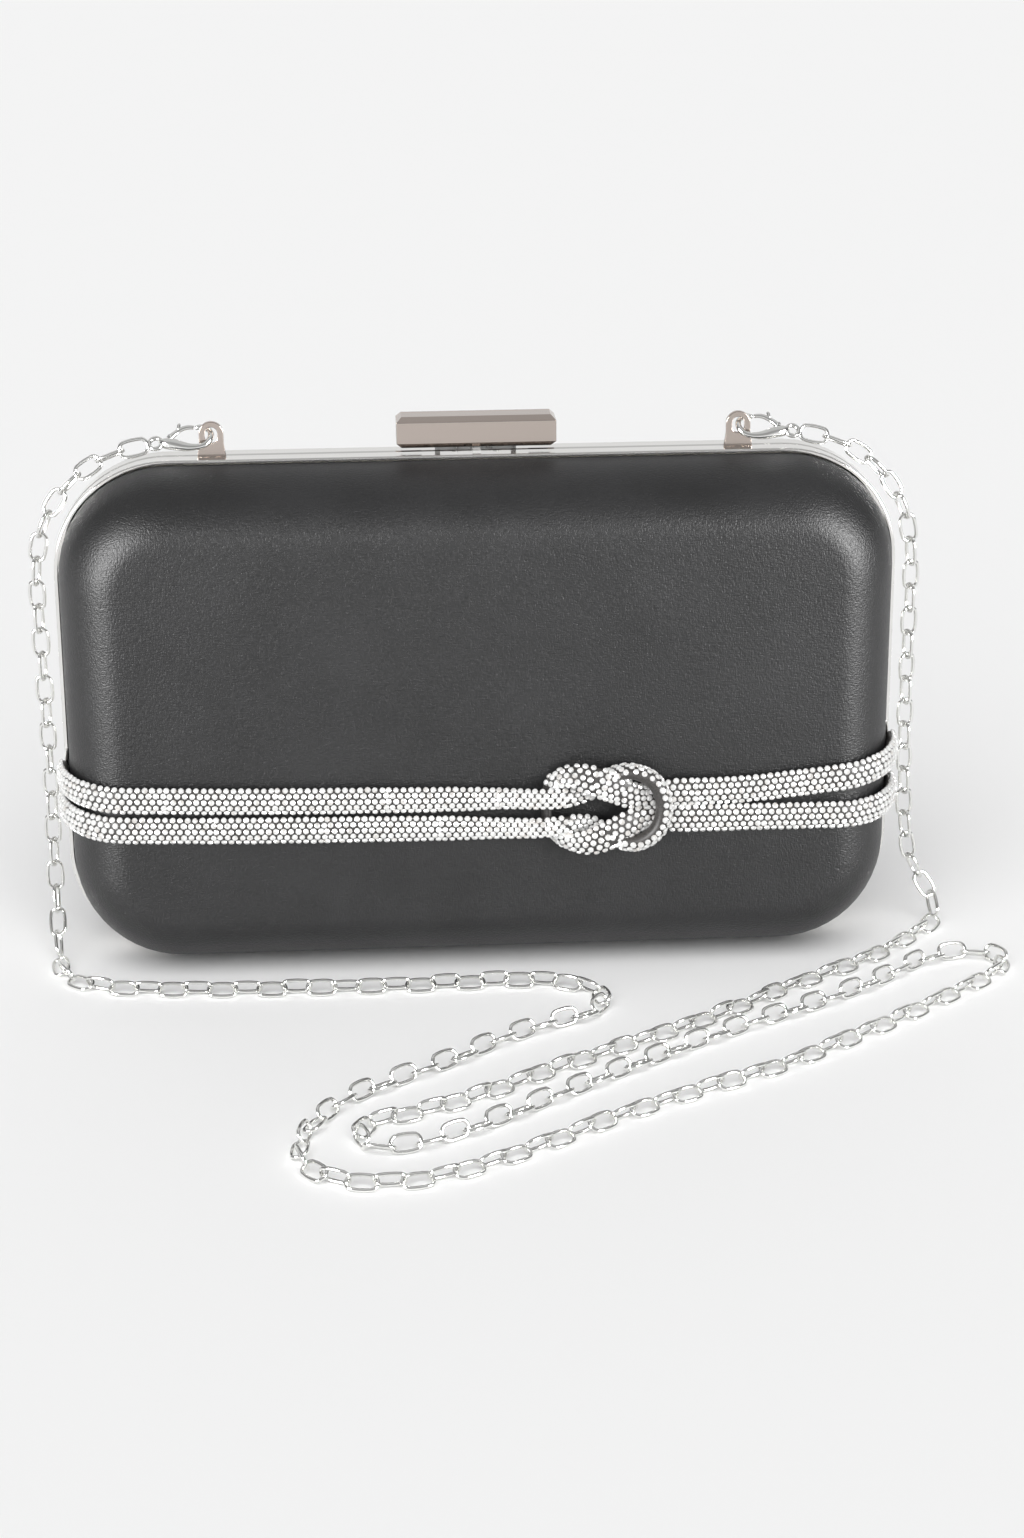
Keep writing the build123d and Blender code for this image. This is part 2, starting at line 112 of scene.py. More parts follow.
def make_world():
    """A pale studio: white behind, dimmer in front, at the sides and overhead."""
    world = bpy.data.worlds.new("studio")
    bpy.context.scene.world = world
    world.use_nodes = True
    tree = world.node_tree
    tree.nodes.clear()
    link = tree.links.new
    place = tree.nodes.new("ShaderNodeTexCoord")
    split = tree.nodes.new("ShaderNodeSeparateXYZ")
    link(place.outputs["Generated"], split.inputs[0])
    side = tree.nodes.new("ShaderNodeMath")
    side.operation = "ABSOLUTE"
    link(split.outputs["X"], side.inputs[0])
    depth = tree.nodes.new("ShaderNodeMapRange")
    depth.inputs["From Min"].default_value = -1.0
    link(split.outputs["Y"], depth.inputs["Value"])
    level = world_ramp(tree, side.outputs[0], SIDE_WALLS)
    for value, stops in ((split.outputs["Z"], OVERHEAD), (depth.outputs["Result"], FRONT_TO_BACK)):
        both = tree.nodes.new("ShaderNodeMath")
        both.operation = "MULTIPLY"
        link(level, both.inputs[0])
        link(world_ramp(tree, value, stops), both.inputs[1])
        level = both.outputs[0]
    background = tree.nodes.new("ShaderNodeBackground")
    link(level, background.inputs["Color"])
    background.inputs["Strength"].default_value = WORLD_STRENGTH
    output = tree.nodes.new("ShaderNodeOutputWorld")
    link(background.outputs[0], output.inputs["Surface"])


def world_ramp(tree, value, stops):
    """The studio's brightness along one direction."""
    node = tree.nodes.new("ShaderNodeValToRGB")
    elements = node.color_ramp.elements
    while len(elements) < len(stops):
        elements.new(0.5)
    for element, (position, level) in zip(elements, stops):
        element.position = position
        element.color = (level, level, level, 1)
    tree.links.new(value, node.inputs["Fac"])
    return node.outputs["Color"]


def sun_light(name, place, spread, power):
    """A soft, even key light from the direction of place, unseen in reflections."""
    data = bpy.data.lights.new(name, "SUN")
    data.angle = math.radians(spread)
    data.energy = power
    lamp = bpy.data.objects.new(name, data)
    lamp.matrix_world = (-Vector(place)).to_track_quat("-Z", "Y").to_matrix().to_4x4()
    lamp.visible_glossy = False
    bpy.context.scene.collection.objects.link(lamp)


SOFTBOX_AIM = Vector((0, 0, 0.05125))


def softbox(name, place, size, power):
    """A lamp that only shows as a highlight, turned towards the lower middle of the object."""
    data = bpy.data.lights.new(name, "AREA")
    data.shape = "RECTANGLE"
    data.size, data.size_y = size
    data.energy = power
    lamp = bpy.data.objects.new(name, data)
    turn = (SOFTBOX_AIM - Vector(place)).to_track_quat("-Z", "Y").to_matrix()
    lamp.matrix_world = Matrix.Translation(place) @ turn.to_4x4()
    lamp.visible_diffuse = False
    lamp.visible_camera = False
    bpy.context.scene.collection.objects.link(lamp)


def make_stage():
    """A plain pale floor under a soft key light."""
    floor = bpy.data.meshes.new("floor")
    reach = 45.0
    corners = [(-reach, -reach, 0), (reach, -reach, 0), (reach, reach, 0), (-reach, reach, 0)]
    floor.from_pydata(corners, [], [(0, 1, 2, 3)])
    plane = bpy.data.objects.new("floor", floor)
    bpy.context.scene.collection.objects.link(plane)
    material, shader = new_material("floor_paper")
    shader.inputs["Base Color"].default_value = (0.88, 0.88, 0.88, 1)
    shader.inputs["Roughness"].default_value = 0.9
    shader.inputs["Specular IOR Level"].default_value = 0.0
    floor.materials.append(material)
    sun_light("key_light", place=(-0.15, -1.0, 0.95), spread=70.0, power=2.62)
    for name, side in (("left_softbox", -1), ("right_softbox", 1)):
        softbox(name, place=(side * 0.97, -0.82, 0.30), size=(0.45, 0.56), power=34.0)


# ---------------------------------------------------------------- materials


def new_material(name):
    """A node material and its Principled shader."""
    material = bpy.data.materials.new(name)
    material.use_nodes = True
    return material, material.node_tree.nodes["Principled BSDF"]


def object_coords(material, stretch=(1, 1, 1)):
    """The piece's own coordinates, stretched along each axis."""
    tree = material.node_tree
    place = tree.nodes.new("ShaderNodeTexCoord")
    mapping = tree.nodes.new("ShaderNodeMapping")
    mapping.inputs["Scale"].default_value = stretch
    tree.links.new(place.outputs["Object"], mapping.inputs["Vector"])
    return mapping.outputs["Vector"]


def noise(material, vector, scale, detail=2.0):
    """A noise texture's value."""
    texture = material.node_tree.nodes.new("ShaderNodeTexNoise")
    texture.inputs["Scale"].default_value = scale
    texture.inputs["Detail"].default_value = detail
    material.node_tree.links.new(vector, texture.inputs["Vector"])
    return texture.outputs["Fac"]


def ramp(material, value, low, high, start=0.35, end=0.65):
    """A value turned into a colour between low and high."""
    node = material.node_tree.nodes.new("ShaderNodeValToRGB")
    node.color_ramp.elements[0].position = start
    node.color_ramp.elements[0].color = (*low, 1)
    node.color_ramp.elements[1].position = end
    node.color_ramp.elements[1].color = (*high, 1)
    material.node_tree.links.new(value, node.inputs["Fac"])
    return node.outputs["Color"]


def remap(material, value, low, high):
    """A value between 0 and 1 moved to the range from low to high."""
    node = material.node_tree.nodes.new("ShaderNodeMapRange")
    node.inputs["To Min"].default_value = low
    node.inputs["To Max"].default_value = high
    material.node_tree.links.new(value, node.inputs["Value"])
    return node.outputs["Result"]


def bump(material, shader, height, depth, strength=1.0):
    """Fine relief from a height value."""
    node = material.node_tree.nodes.new("ShaderNodeBump")
    node.inputs["Strength"].default_value = strength
    node.inputs["Distance"].default_value = depth
    material.node_tree.links.new(height, node.inputs["Height"])
    material.node_tree.links.new(node.outputs["Normal"], shader.inputs["Normal"])


def combine(material, first, second, operation="ADD"):
    """Two values put together."""
    node = material.node_tree.nodes.new("ShaderNodeMath")
    node.operation = operation
    material.node_tree.links.new(first, node.inputs[0])
    material.node_tree.links.new(second, node.inputs[1])
    return node.outputs[0]


WEAVE_SCALE = 2900.0  # grains of the weave to the metre
THREAD_STRETCH = 0.35  # a grain is longer along its thread by one over this


def satin(name, dark, light, sheen, roughness):
    """Woven satin: fine ribs both ways, a little mottling and a soft sheen."""
    material, shader = new_material(name)
    link = material.node_tree.links.new
    mottle = noise(material, object_coords(material), scale=45.0, detail=4.0)
    warp = noise(material, object_coords(material, (1, 1, THREAD_STRETCH)), WEAVE_SCALE)
    weft = noise(material, object_coords(material, (THREAD_STRETCH, 1, 1)), WEAVE_SCALE)
    weave = combine(material, warp, weft)
    shade = combine(material, mottle, weave, "MULTIPLY")
    link(ramp(material, shade, dark, light, start=0.30, end=0.70), shader.inputs["Base Color"])
    link(remap(material, warp, roughness - 0.10, roughness + 0.12), shader.inputs["Roughness"])
    bump(material, shader, weave, depth=0.00011)
    shader.inputs["Specular IOR Level"].default_value = 0.50
    shader.inputs["Sheen Weight"].default_value = sheen
    shader.inputs["Sheen Roughness"].default_value = 0.35
    shader.inputs["Sheen Tint"].default_value = (0.9, 0.92, 1.0, 1)
    return material


def metal(name, dark, light, roughness, stretch):
    """Plated metal with faint handling marks, drawn out along the axis that stretch makes small."""
    material, shader = new_material(name)
    link = material.node_tree.links.new
    vector = object_coords(material, stretch)
    marks = noise(material, vector, scale=420.0, detail=3.0)
    clouds = noise(material, vector, scale=60.0)
    link(ramp(material, clouds, dark, light), shader.inputs["Base Color"])
    link(remap(material, marks, roughness * 0.6, roughness * 1.5), shader.inputs["Roughness"])
    bump(material, shader, marks, depth=0.000004, strength=0.4)
    shader.inputs["Metallic"].default_value = 1.0
    return material


def grainy(name, dark, light, roughness, scale, depth):
    """Board, foam or mesh with a plain grain."""
    material, shader = new_material(name)
    link = material.node_tree.links.new
    grain = noise(material, object_coords(material), scale, detail=4.0)
    link(ramp(material, grain, dark, light), shader.inputs["Base Color"])
    link(remap(material, grain, roughness - 0.08, roughness + 0.08), shader.inputs["Roughness"])
    bump(material, shader, grain, depth, strength=0.6)
    return material


def stone_glass():
    """Pale cut stones, with a slight change of tint from one to the next."""
    material, shader = new_material("stones")
    link = material.node_tree.links.new
    tint = noise(material, object_coords(material), scale=700.0, detail=0.0)
    warm, clear = (0.80, 0.77, 0.74), (0.95, 0.95, 0.94)
    link(ramp(material, tint, warm, clear, start=0.25, end=0.45), shader.inputs["Base Color"])
    link(remap(material, tint, 0.10, 0.22), shader.inputs["Roughness"])
    shader.inputs["Metallic"].default_value = 0.25
    shader.inputs["IOR"].default_value = 1.7
    shader.inputs["Coat Weight"].default_value = 0.6
    shader.inputs["Coat Roughness"].default_value = 0.06
    return material


# Name, darkest and lightest colour, sheen, roughness
SATINS = [
    ("satin", (0.005, 0.005, 0.0055), (0.013, 0.013, 0.014), 0.02, 0.43),
    ("lining", (0.018, 0.018, 0.020), (0.034, 0.034, 0.037), 0.15, 0.55),
]
# Name, darkest and lightest colour, roughness, stretch of the marks
METALS = [
    ("rim_metal", (0.80, 0.79, 0.77), (0.88, 0.87, 0.85), 0.10, (0.2, 1, 1)),
    ("clasp_metal", (0.48, 0.42, 0.38), (0.54, 0.47, 0.43), 0.16, (0.08, 1, 1)),
    ("chain_metal", (0.84, 0.84, 0.82), (0.92, 0.92, 0.90), 0.09, (1, 1, 1)),
    ("pin_steel", (0.52, 0.52, 0.52), (0.62, 0.62, 0.62), 0.28, (1, 1, 1)),
]
# Name, darkest and lightest colour, roughness, grains to the metre, relief in metres
GRAINY = [
    ("strap_mesh", (0.028, 0.026, 0.024), (0.060, 0.054, 0.050), 0.50, 2500.0, 0.00004),
    ("shell_board", (0.25, 0.25, 0.25), (0.33, 0.33, 0.33), 0.6, 900.0, 0.00003),
    ("foam", (0.66, 0.64, 0.60), (0.80, 0.78, 0.74), 0.9, 1500.0, 0.0001),
]


def make_materials():
    """Every finish by its name, which is that of its slot in the record, or strap_mesh."""
    finishes = {"stones": stone_glass()}
    for make, rows in ((satin, SATINS), (metal, METALS), (grainy, GRAINY)):
        for name, *look in rows:
            finishes[name] = make(name, *look)
    return finishes


# ---------------------------------------------------------------- mesh helpers


def add_piece(name, points, faces, material, body, slot, smooth=True):
    """A mesh piece from points in millimetres. It rides on body, if one is given."""
    mesh = bpy.data.meshes.new(name)
    mesh.from_pydata([tuple(float(v) * MM for v in p) for p in points], [], faces)
    mesh.validate()
    mesh.polygons.foreach_set("use_smooth", [smooth] * len(mesh.polygons))
    mesh.update()
    mesh.materials.append(material)
    piece = bpy.data.objects.new(name, mesh)
    bpy.context.scene.collection.objects.link(piece)
    if body:
        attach(piece, body)
    return piece


def tube_faces(rings, around, start=0, looped=False):
    """Quads between neighbouring rings of points, with capped ends unless the tube is looped."""
    faces = []
    for k in range(rings if looped else rings - 1):
        here = start + k * around
        after = start + ((k + 1) % rings) * around
        for j in range(around):
            n = (j + 1) % around
            faces.append((here + j, here + n, after + n, after + j))
    if not looped:
        faces.append(tuple(start + j for j in reversed(range(around))))
        faces.append(tuple(start + (rings - 1) * around + j for j in range(around)))
    return faces


SPLINE_STEPS = 24  # points worked out between two rows, before they are evenly spaced


def spline(points, step):
    """A smooth Catmull-Rom run through rows of numbers, evenly spaced by about step in the first three."""
    rows = np.array(points, float)
    rows = np.vstack([2 * rows[0] - rows[1], rows, 2 * rows[-1] - rows[-2]])
    dense = []
    for k in range(1, len(rows) - 2):
        p0, p1, p2, p3 = rows[k - 1 : k + 3]
        for t in np.linspace(0, 1, SPLINE_STEPS, endpoint=False):
            dense.append(
                0.5 * (2 * p1 + (p2 - p0) * t + (2 * p0 - 5 * p1 + 4 * p2 - p3) * t**2
                       + (3 * p1 - p0 - 3 * p2 + p3) * t**3)
            )
    dense.append(rows[-2])
    return resample(np.array(dense), step)


def resample(rows, step):
    """The same run with its rows about step apart."""
    along = np.concatenate([[0], np.cumsum(np.linalg.norm(np.diff(rows[:, :3], axis=0), axis=1))])
    count = max(2, int(round(along[-1] / step)) + 1)
    even = np.linspace(0, along[-1], count)
    return np.column_stack([np.interp(even, along, rows[:, c]) for c in range(rows.shape[1])])


def join_parts(parts):
    """Several sets of points and faces as one."""
    points, faces = [], []
    for part_points, part_faces in parts:
        offset = len(points)
        points.extend(part_points)
        faces.extend(tuple(i + offset for i in face) for face in part_faces)
    return points, faces


def scatter(size):
    """A small random shift, up to size along each axis."""
    return Vector((random.uniform(-1, 1), random.uniform(-1, 1), random.uniform(-1, 1))) * size


# ---------------------------------------------------------------- covers, padding and lining


SIDE_STEPS = 26  # points along each straight side of the outline
CORNER_STEPS = 12  # points round each of its corners
ARC_STEPS = 18  # rings round the dome's side
FACE_STEPS = 16  # rings over its flat face
LIFT_RINGS = 6  # rings over which the crown and ripple come in
LAP = 0.1  # how far under the rim's face the last straight ring lies
SPINE = 36.0  # half length of the line on which each half's rings close
CLOSING = 0.995  # share of the way to that line where they stop
RIPPLE_X, RIPPLE_Z = 0.35, 0.13  # turns of the ripple, in radians to the millimetre


def outline_ring(inset, depth, sign):
    """The bag's rounded outline as a ring of points, inset all round, depth away from the seam."""
    half_x = HALF_WIDTH - inset
    half_z = MIDDLE_Z - inset
    smallest_radius = 0.5
    radius = max(CORNER_RADIUS - inset, smallest_radius)
    flat_x = half_x - radius
    flat_z = half_z - radius
    ring = []
    corners = [(flat_x, -flat_z, -90), (flat_x, flat_z, 0), (-flat_x, flat_z, 90), (-flat_x, -flat_z, 180)]
    for k, (cx, cz, start) in enumerate(corners):
        for j in range(CORNER_STEPS):
            a = math.radians(start + 90 * j / CORNER_STEPS)
            ring.append((cx + radius * math.cos(a), cz + radius * math.sin(a)))
        ex, ez, _ = corners[(k + 1) % 4]
        a = math.radians(start + 90)
        first = (cx + radius * math.cos(a), cz + radius * math.sin(a))
        last = (ex + radius * math.cos(a), ez + radius * math.sin(a))
        for j in range(SIDE_STEPS):
            t = j / SIDE_STEPS
            ring.append((first[0] + (last[0] - first[0]) * t, first[1] + (last[1] - first[1]) * t))
    return [(x, SEAM_Y - sign * depth, MIDDLE_Z + z) for x, z in ring]


def crown_at(x, z):
    """How far the cloth stands proud of the CAD cover at a place on the front or the back."""
    u = min(abs(x) / (HALF_WIDTH - RIM_PROUD), 1.0)
    v = min(abs(z - MIDDLE_Z) / (MIDDLE_Z - RIM_PROUD), 1.0)
    return CROWN * (1 - u**3) * (1 - v**3)


def dome_rings(layer, sign, collar, crowned, wrinkle):
    """Points of the rings from the rim to the middle of one half, layer under the cover's surface."""
    inset = RIM_PROUD + layer
    depth = DOME_DEPTH - layer
    side = DOME_SIDE - layer
    straight = [outline_ring(inset, collar, sign), outline_ring(inset, RIM_FACE - LAP, sign)]
    rings = list(straight)
    for angle in np.linspace(0, 90, ARC_STEPS + 1):
        turn = math.radians(angle)
        further_in = inset + side * (1 - math.cos(turn))
        rings.append(outline_ring(further_in, RIM_FACE + depth * math.sin(turn), sign))
    edge = rings[-1]
    for t in np.linspace(0, 1, FACE_STEPS + 1)[1:]:
        ring = []
        for x, y, z in edge:
            end_x = max(-SPINE, min(SPINE, x))
            ring.append((x + (end_x - x) * t * CLOSING, y, z + (MIDDLE_Z - z) * t * CLOSING))
        rings.append(ring)
    points = []
    for k, ring in enumerate(rings):
        lift = max(0.0, min((k - len(straight)) / LIFT_RINGS, 1.0))
        for x, y, z in ring:
            ripple = wrinkle * math.sin(x * RIPPLE_X + 2 * math.sin(z * RIPPLE_Z)) * lift
            proud = crown_at(x, z) * lift if crowned else 0.0
            points.append((x, y - sign * (proud + ripple), z))
    return points, len(rings), len(edge)


def domed_layer(name, body, sign, layer, crowned, material, slot, wrinkle=0.0):
    """One closed soft layer of a half. crowned says whether its outside and its inside bulge."""
    outside, inside, collar = layer
    outer, rings, around = dome_rings(outside, sign, collar, crowned[0], wrinkle)
    inner, _, _ = dome_rings(inside, sign, collar, crowned[1], wrinkle)
    total = len(outer)
    faces = []
    for k in range(rings - 1):
        for j in range(around):
            n = (j + 1) % around
            a, b = k * around + j, k * around + n
            faces.append((a, b, b + around, a + around))
            faces.append((total + a, total + a + around, total + b + around, total + b))
    for j in range(around):
        n = (j + 1) % around
        faces.append((j, total + j, total + n, n))
    last = (rings - 1) * around
    faces.append(tuple(last + j for j in range(around)))
    faces.append(tuple(total + last + j for j in reversed(range(around))))
    if sign > 0:
        faces = [tuple(reversed(f)) for f in faces]
    return add_piece(name, outer + inner, faces, material, body, slot)


# Each layer: depth of its outside and its inside under the cover's surface, then its edge's from the seam
COVER_LAYER = (0.0, 0.6, 4.7)
PADDING_LAYER = (0.65, 2.05, 1.9)
LINING_LAYER = (3.68, 4.15, 0.98)
LINING_RIPPLE = 0.02


def make_halves(materials):
    """The cloth cover, padding and lining of both halves."""
    both_sides, outside_only, flat = (True, True), (True, False), (False, False)
    for half, sign in (("front", 1), ("back", -1)):
        body = f"{half}_half"
        cover = domed_layer(
            f"{half}_satin_cover", body, sign, COVER_LAYER, both_sides, materials["satin"], "satin"
        )
        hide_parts(f"{half}_cover")
        padding = domed_layer(
            f"{half}_foam_padding", body, sign, PADDING_LAYER, outside_only, materials["foam"], "foam"
        )
        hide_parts(f"{half}_padding")
        lining = domed_layer(
            f"{half}_cloth_lining", body, sign, LINING_LAYER, flat, materials["lining"], "lining",
            wrinkle=LINING_RIPPLE,
        )
        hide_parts(f"{half}_lining")


# ---------------------------------------------------------------- straps and knot


FLAT_X = HALF_WIDTH - RIM_PROUD - DOME_SIDE  # where the cover's rounded side starts
SIDE_ARC = 27.6  # length of the cover's rounded side


def on_cover(s, z):
    """Place and outward normal on the front cover, s along it from the middle and round its side."""
    side = 1.0 if s >= 0 else -1.0
    past = max(0.0, abs(s) - FLAT_X) / SIDE_ARC
    angle = math.pi / 2 * (1 - min(past, 1.0))
    if past == 0.0:
        x, depth = s, RIM_FACE + DOME_DEPTH
        normal = Vector((0, -1, 0))
    else:
        x = side * (FLAT_X + DOME_SIDE * math.cos(angle))
        depth = RIM_FACE + DOME_DEPTH * math.sin(angle)
        normal = Vector((side * DOME_DEPTH * math.cos(angle), -DOME_SIDE * math.sin(angle), 0)).normalized()
    return Vector((x, SEAM_Y - depth - crown_at(x, z) * math.sin(angle), z)), normal


# Each row: distance along the cover, height, lift of the strand's middle off the cloth, half width,
# half thickness, roll in degrees
LEFT_BIGHT = [
    (-113.6, 49.3, 1.5, 3.0, 1.5, 0), (-106, 49.3, 1.5, 3.1, 1.5, 0), (-97, 49.3, 1.5, 3.1, 1.5, 0),
    (-85, 49.1, 1.5, 3.1, 1.5, 0), (-66, 48.6, 1.5, 3.1, 1.5, 0), (-46, 48.2, 1.5, 3.1, 1.5, 0),
    (-26, 47.9, 1.5, 3.05, 1.5, 0), (-8, 47.7, 1.6, 2.85, 1.5, 0), (4, 47.7, 2.0, 2.45, 1.5, 0),
    (10, 47.8, 3.2, 2.3, 1.4, 0), (15, 48.0, 4.4, 2.3, 1.3, 0), (19.5, 48.1, 4.0, 2.2, 1.3, 0),
    (24, 48.4, 2.2, 2.0, 1.2, 0), (27.4, 50.2, 1.7, 2.0, 1.3, 25), (30.6, 52.8, 2.8, 2.4, 1.5, 65),
    (34.4, 54.3, 4.3, 2.8, 1.8, 95), (38.4, 53.4, 4.9, 3.0, 2.0, 98), (41.4, 50.8, 5.1, 3.1, 2.1, 92),
    (42.8, 47.2, 5.2, 3.1, 2.1, 86), (42.8, 43.2, 5.2, 3.1, 2.1, 82), (41.4, 39.5, 5.1, 3.1, 2.1, 76),
    (38.2, 36.8, 4.8, 3.0, 2.0, 72), (34.4, 36.0, 4.2, 2.8, 1.8, 64), (30.8, 37.4, 2.8, 2.4, 1.5, 45),
    (27.6, 39.6, 1.7, 2.0, 1.3, 20), (24, 40.9, 2.2, 2.0, 1.2, 0), (19.5, 41.1, 4.0, 2.2, 1.3, 0),
    (15, 40.7, 4.4, 2.3, 1.3, 0), (10, 40.2, 3.2, 2.3, 1.4, 0), (4, 40.0, 2.0, 2.45, 1.5, 0),
    (-8, 40.2, 1.6, 2.85, 1.5, 0), (-26, 40.5, 1.5, 3.05, 1.5, 0), (-46, 40.7, 1.5, 3.1, 1.5, 0),
    (-66, 41.0, 1.5, 3.1, 1.5, 0), (-85, 41.4, 1.5, 3.1, 1.5, 0), (-97, 41.5, 1.5, 3.1, 1.5, 0),
    (-106, 41.5, 1.5, 3.1, 1.5, 0), (-113.6, 41.5, 1.5, 3.0, 1.5, 0),
]
RIGHT_BIGHT = [
    (113.6, 51.3, 1.5, 3.0, 1.5, 0), (106, 51.3, 1.5, 3.1, 1.5, 0), (97, 50.9, 1.5, 3.2, 1.5, 0),
    (88, 50.3, 1.5, 3.2, 1.5, 0), (76, 49.2, 1.5, 3.2, 1.5, 0), (64, 48.2, 1.5, 3.2, 1.5, 0),
    (54, 47.9, 1.5, 3.3, 1.5, 0), (47, 47.9, 1.5, 3.3, 1.5, 0), (42.8, 47.6, 1.6, 3.2, 1.4, 0),
    (39.0, 47.2, 2.3, 3.1, 1.4, 0), (35.0, 48.5, 4.0, 3.3, 1.5, 0), (30.4, 51.0, 5.0, 3.6, 1.7, -8),
    (25.2, 52.9, 5.0, 3.4, 1.7, -14), (20.6, 53.5, 3.9, 2.6, 1.5, -34), (16.8, 51.7, 2.2, 2.1, 1.3, -48),
    (15.2, 49.0, 1.2, 1.8, 1.2, -50), (14.9, 45.0, 1.0, 1.7, 1.2, -50), (15.3, 41.0, 1.2, 1.8, 1.2, -50),
    (16.8, 38.9, 2.0, 2.1, 1.2, -44), (20.0, 36.9, 3.4, 2.5, 1.5, -30),
    (24.8, 36.9, 4.9, 3.2, 1.7, -8), (29.8, 38.6, 5.0, 3.5, 1.7, 0), (34.6, 40.9, 4.0, 3.3, 1.5, 0),
    (39.0, 42.0, 2.3, 3.1, 1.4, 0), (42.8, 41.5, 1.6, 3.2, 1.4, 0), (47, 41.1, 1.5, 3.3, 1.5, 0),
    (54, 41.0, 1.5, 3.3, 1.5, 0), (64, 40.9, 1.5, 3.2, 1.5, 0), (76, 40.7, 1.5, 3.2, 1.5, 0),
    (88, 40.5, 1.5, 3.2, 1.5, 0), (97, 40.4, 1.5, 3.2, 1.5, 0), (106, 40.4, 1.5, 3.1, 1.5, 0),
    (113.6, 40.4, 1.5, 3.0, 1.5, 0),
]
STRAP_STEP = 0.3  # between two places along a bight
TUBE_SINK = 0.25  # how far the dark tube lies under the stones
STONE_PITCH = 1.78
STONE_RADIUS = 0.76
STONE_SIZES = (0.93, 1.05)  # shares of that radius
STONE_JITTER = 0.06  # shift of a stone, in millimetres
STONE_TIP = 0.06  # lean of a stone's axis, as a share of its length
WIDE_STRAND = 3.5  # half width above which a strand takes six rows of stones
NARROW_STRAND = 2.2  # half width below which it takes four
BARE_STRAND = 1.9  # half width below which it is tucked away and bare


Section = namedtuple("Section", "centre tangent normal across half_width half_thick")


def strap_sections(rows):
    """Evenly spaced sections along a bight."""
    flat = spline(rows, STRAP_STEP)
    centres, normals = [], []
    for s, z, lift, *_ in flat:
        place, normal = on_cover(s, z)
        centres.append(place + normal * lift)
        normals.append(normal)
    path = []
    for k, (*_, half_width, half_thick, roll) in enumerate(flat):
        tangent = (centres[min(k + 1, len(centres) - 1)] - centres[max(k - 1, 0)]).normalized()
        base = normals[k] - tangent * normals[k].dot(tangent)
        base.normalize()
        turn = math.radians(roll)
        normal = base * math.cos(turn) - tangent.cross(base) * math.sin(turn)
        path.append(Section(centres[k], tangent, normal, tangent.cross(normal), half_width, half_thick))
    return path


def section_point(section, angle, sink=0.0):
    """A point of the strand's rounded section, angle from its outward normal, and the normal there."""
    c, s = math.cos(angle), math.sin(angle)
    power = 0.85
    x = math.copysign(abs(s) ** power, s) * (section.half_width - sink)
    y = math.copysign(abs(c) ** power, c) * (section.half_thick - sink)
    out = section.across * (s / section.half_width) + section.normal * (c / section.half_thick)
    return section.centre + section.across * x + section.normal * y, out.normalized()


def strap_mesh(name, rows, material, body, slot):
    """The dark woven tube under the stones."""
    sections = strap_sections(rows)[::2]
    around = 18
    points = []
    for section in sections:
        for j in range(around):
            points.append(section_point(section, 2 * math.pi * j / around, TUBE_SINK)[0])
    return add_piece(name, points, tube_faces(len(sections), around), material, body, slot)


def row_angles(section):
    """Section angles of the stone rows, an even arc length apart on the outward side."""
    steps = 60
    angles = np.linspace(-math.pi / 2, math.pi / 2, steps + 1)
    places = np.array([section_point(section, a)[0] for a in angles])
    arc = np.concatenate([[0], np.cumsum(np.linalg.norm(np.diff(places, axis=0), axis=1))])
    count = 6 if section.half_width > WIDE_STRAND else 5 if section.half_width > NARROW_STRAND else 4
    return [float(np.interp(arc[-1] * (k + 0.5) / count, arc, angles)) for k in range(count)]


STONE_SIDES = 8
# Radius and height of a cut stone's rings, from its base to its table, as shares of its radius
STONE_PROFILE = [(1.0, -0.35), (1.0, 0.0), (0.86, 0.28), (0.52, 0.46)]


def add_stone(points, faces, place, out, along, radius):
    """One cut stone: girdle, facets and a flat table."""
    across = out.cross(along).normalized()
    along = across.cross(out)
    start = len(points)
    turn = random.uniform(0, math.pi / 4)
    out = (out + scatter(STONE_TIP)).normalized()
    for share, height in STONE_PROFILE:
        for k in range(STONE_SIDES):
            a = turn + 2 * math.pi * k / STONE_SIDES
            side = along * math.cos(a) + across * math.sin(a)
            points.append(place + side * (radius * share) + out * (radius * height))
    faces.extend(tube_faces(len(STONE_PROFILE), STONE_SIDES, start))


def strap_stones(name, rows, material, body, slot):
    """Stones in staggered rows along the outward side of a bight."""
    path = strap_sections(rows)
    centres = np.array([section.centre for section in path])
    along = np.concatenate([[0], np.cumsum(np.linalg.norm(np.diff(centres, axis=0), axis=1))])
    points, faces = [], []
    half_pitch = STONE_PITCH / 2
    for step in range(int(along[-1] / half_pitch)):
        section = path[int(np.searchsorted(along, (step + 0.5) * half_pitch))]
        if section.half_width < BARE_STRAND:
            continue
        for k, angle in enumerate(row_angles(section)):
            if (k + step) % 2:
                continue
            place, out = section_point(section, angle)
            place = place + scatter(STONE_JITTER)
            radius = STONE_RADIUS * random.uniform(*STONE_SIZES)
            add_stone(points, faces, place, out, section.tangent, radius)
    return add_piece(name, points, faces, material, body, slot, smooth=False)


def make_straps(materials):
    """Both bights of the knot, each a dark tube covered with stones."""
    for side, rows in (("left", LEFT_BIGHT), ("right", RIGHT_BIGHT)):
        tube = strap_mesh(f"{side}_strap_tube", rows, materials["strap_mesh"], "front_half", "satin")
        stones = strap_stones(f"{side}_strap_stones", rows, materials["stones"], "front_half", "stones")
        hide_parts(f"{side}_strap")
        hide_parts(f"{side}_strap")


# ---------------------------------------------------------------- chain


